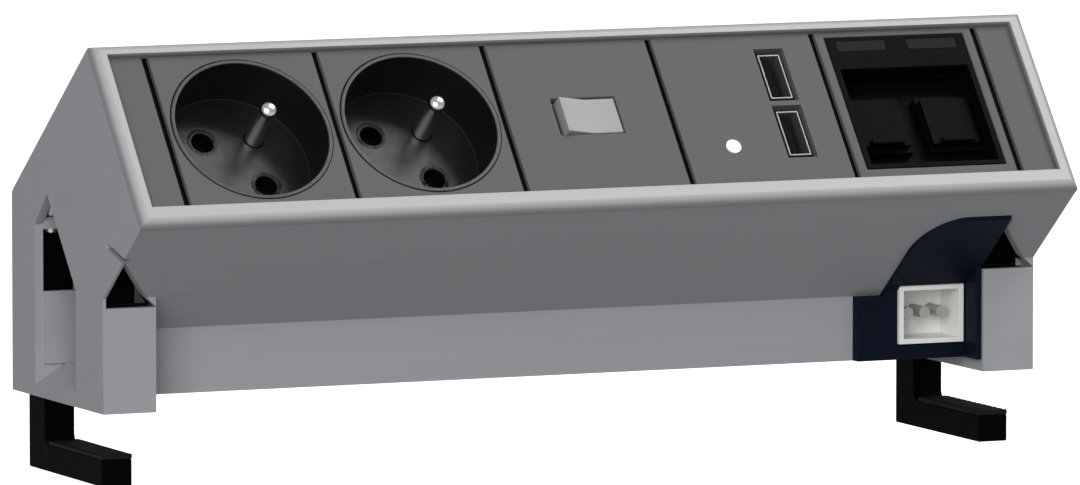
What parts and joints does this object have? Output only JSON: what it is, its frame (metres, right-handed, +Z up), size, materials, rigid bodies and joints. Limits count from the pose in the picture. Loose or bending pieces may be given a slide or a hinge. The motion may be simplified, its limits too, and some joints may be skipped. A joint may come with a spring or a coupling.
{
  "type": "desk socket strip",
  "caption": "Desk-edge power strip: sloping module panel with earth-pin sockets, rocker switch, USB charger and data outlet, on screw-drawn L-shaped clamps.",
  "frame": {"origin": "middle of the footprint, level with the undersides of the closed clamp jaws", "axes": "+X along the strip towards the inlet, -Y is the front, +Z up"},
  "size_m": [0.253, 0.0906, 0.1085],
  "materials": {
    "anodised_aluminium": "satin, silver anodised",
    "bright_frame": "satin, light edge",
    "silver_cap": "cast, silver paint",
    "grey_plastic": "fine matt",
    "black_plastic": "satin",
    "navy_plastic": "matt",
    "white_plastic": "gloss",
    "light_plastic": "satin",
    "label_window": "clear over grey card",
    "inner_plastic": "moulded",
    "black_steel": "black powder coat",
    "bright_steel": "nickel plated",
    "steel_screw": "zinc plated",
    "contact_brass": "bare",
    "rubber_pad": "matt",
    "board_green": "solder mask",
    "brown_wire": "insulated",
    "blue_wire": "insulated",
    "earth_wire": "green and yellow insulated"
  },
  "bodies": {
    "casing": {"housing_profile": "anodised_aluminium", "front_frame": "bright_frame", "filler_strips": "grey_plastic", "module_carrier": "black_plastic", "left_end_cap": "silver_cap", "right_end_cap": "silver_cap", "end_cap_screws": "steel_screw", "switch_cover": "grey_plastic", "switch_pivot_pin": "steel_screw", "switch_body": "inner_plastic", "switch_terminals": "contact_brass", "usb_cover": "grey_plastic", "usb_case": "black_plastic", "usb_back_cover": "black_plastic", "usb_shells": "bright_steel", "usb_tongues": "black_plastic", "usb_board": "board_green", "usb_board_parts": "black_plastic", "usb_indicator_lens": "white_plastic", "data_cover": "grey_plastic", "data_frame": "black_plastic", "data_label_windows": "label_window", "data_jacks": "black_plastic", "data_jack_contacts": "contact_brass", "inlet_housing": "navy_plastic", "inlet_connector": "white_plastic", "inlet_pins": "bright_steel", "terminal_block": "inner_plastic", "line_wires": "brown_wire", "neutral_wires": "blue_wire", "earth_wires": "earth_wire", "earth_ring": "contact_brass", "earth_bond_screw": "steel_screw", "socket_1_cover": "grey_plastic", "socket_1_insert": "black_plastic", "socket_1_earth_pin": "bright_steel", "socket_1_contacts": "contact_brass", "socket_1_shutter_spring": "steel_screw", "socket_1_rear_housing": "inner_plastic", "socket_1_terminal_screws": "steel_screw", "socket_2_cover": "grey_plastic", "socket_2_insert": "black_plastic", "socket_2_earth_pin": "bright_steel", "socket_2_contacts": "contact_brass", "socket_2_shutter_spring": "steel_screw", "socket_2_rear_housing": "inner_plastic", "socket_2_terminal_screws": "steel_screw"},
    "left_jaw": {"left_clamp_jaw": "black_steel", "left_jaw_pad": "rubber_pad"},
    "left_screw": {"left_clamp_screw": "steel_screw", "left_screw_ring": "steel_screw"},
    "left_data_slide": {"data_shutter_left": "black_plastic"},
    "right_jaw": {"right_clamp_jaw": "black_steel", "right_jaw_pad": "rubber_pad"},
    "right_screw": {"right_clamp_screw": "steel_screw", "right_screw_ring": "steel_screw"},
    "right_data_slide": {"data_shutter_right": "black_plastic"},
    "rocker": {"switch_rocker": "light_plastic"},
    "socket_1_shutter_disc": {"socket_1_shutter": "black_plastic"},
    "socket_2_shutter_disc": {"socket_2_shutter": "black_plastic"}
  },
  "joints": [
    {"name": "left_jaw_travel", "type": "slide", "parent": "casing", "child": "left_jaw", "axis": [0, 0, -1], "range_m": [0, 0.028]},
    {"name": "left_screw_turn", "type": "hinge", "parent": "casing", "child": "left_screw", "pos_m": [-0.1195, 0.0324, 0.058], "axis": [0, 0, 1], "range_deg": [0, 12600.5]},
    {"name": "right_jaw_travel", "type": "slide", "parent": "casing", "child": "right_jaw", "axis": [0, 0, -1], "range_m": [0, 0.028]},
    {"name": "right_screw_turn", "type": "hinge", "parent": "casing", "child": "right_screw", "pos_m": [0.1195, 0.0324, 0.058], "axis": [0, 0, 1], "range_deg": [0, 12600.5]},
    {"name": "rocker_tip", "type": "hinge", "parent": "casing", "child": "rocker", "pos_m": [0, -0.02246, 0.08463], "axis": [0, 0.6428, 0.766], "range_deg": [-12, 0]},
    {"name": "socket_1_shutter_turn", "type": "hinge", "parent": "casing", "child": "socket_1_shutter_disc", "pos_m": [-0.09, -0.01288, 0.07659], "axis": [0, -0.766, 0.6428], "range_deg": [0, 40], "stiffness_Nm_per_rad": 0.0002, "springref_deg": -11.46},
    {"name": "socket_2_shutter_turn", "type": "hinge", "parent": "casing", "child": "socket_2_shutter_disc", "pos_m": [-0.045, -0.01288, 0.07659], "axis": [0, -0.766, 0.6428], "range_deg": [0, 40], "stiffness_Nm_per_rad": 0.0002, "springref_deg": -11.46},
    {"name": "left_data_slide_travel", "type": "slide", "parent": "casing", "child": "left_data_slide", "axis": [0, 0.6428, 0.766], "range_m": [0, 0.01], "stiffness_N_per_m": 15, "springref_m": -0.01},
    {"name": "right_data_slide_travel", "type": "slide", "parent": "casing", "child": "right_data_slide", "axis": [0, 0.6428, 0.766], "range_m": [0, 0.01], "stiffness_N_per_m": 15, "springref_m": -0.01}
  ],
  "couplings": [
    {"joint": "left_screw_turn", "follows": "left_jaw_travel", "rad_per_m": 7854},
    {"joint": "right_screw_turn", "follows": "right_jaw_travel", "rad_per_m": 7854}
  ]
}
